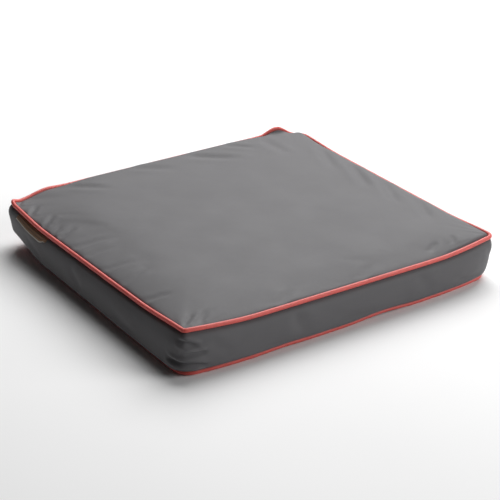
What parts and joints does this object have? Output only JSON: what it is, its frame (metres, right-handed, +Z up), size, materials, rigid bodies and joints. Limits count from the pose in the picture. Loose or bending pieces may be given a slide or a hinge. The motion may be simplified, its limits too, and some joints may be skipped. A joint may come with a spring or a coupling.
{
  "type": "kneeling pad",
  "caption": "Nearly square foam kneeling pad in a box-edged fabric cover, with contrast piping on both seams and a rear zip.",
  "frame": {"origin": "on the floor under the middle of the pad's box", "axes": "+Z up, +Y towards the rear with the zip, -X towards the side with the label"},
  "size_m": [0.45, 0.4038, 0.0576],
  "materials": {
    "cover_fabric": "smooth mid-grey woven polyester with a soft sheen",
    "piping_fabric": "coral satin-finish bias strip",
    "piping_cord": "white spun cord",
    "foam": "open-cell foam",
    "wadding": "white fibre wadding",
    "label": "woven satin label, blank",
    "zip_tape": "dark woven tape",
    "zip_coil": "dark moulded coil",
    "zip_metal": "plated die-cast metal"
  },
  "bodies": {
    "pad": {"foam_core": "foam", "wadding_top": "wadding", "wadding_bottom": "wadding", "top_panel": "cover_fabric", "bottom_panel": "cover_fabric", "side_band": "cover_fabric", "zip_band_upper": "cover_fabric", "zip_band_lower": "cover_fabric", "top_piping_cover": "piping_fabric", "bottom_piping_cover": "piping_fabric", "top_piping_cord": "piping_cord", "bottom_piping_cord": "piping_cord", "woven_label": "label", "zip_tape_upper": "zip_tape", "zip_tape_lower": "zip_tape", "zip_coil_upper": "zip_coil", "zip_coil_lower": "zip_coil", "zip_top_stop_upper": "zip_metal", "zip_top_stop_lower": "zip_metal", "zip_bottom_stop": "zip_metal"},
    "slider": {"zip_slider": "zip_metal"},
    "pull_tab": {"zip_pull_tab": "zip_metal"}
  },
  "joints": [
    {"name": "zip_travel", "type": "slide", "parent": "pad", "child": "slider", "axis": [-1, 0, 0], "range_m": [0, 0.3159]},
    {"name": "pull_tab_hinge", "type": "hinge", "parent": "slider", "child": "pull_tab", "pos_m": [0.15795, 0.2017, 0.024], "axis": [0, 0, -1], "range_deg": [0, 180]}
  ]
}
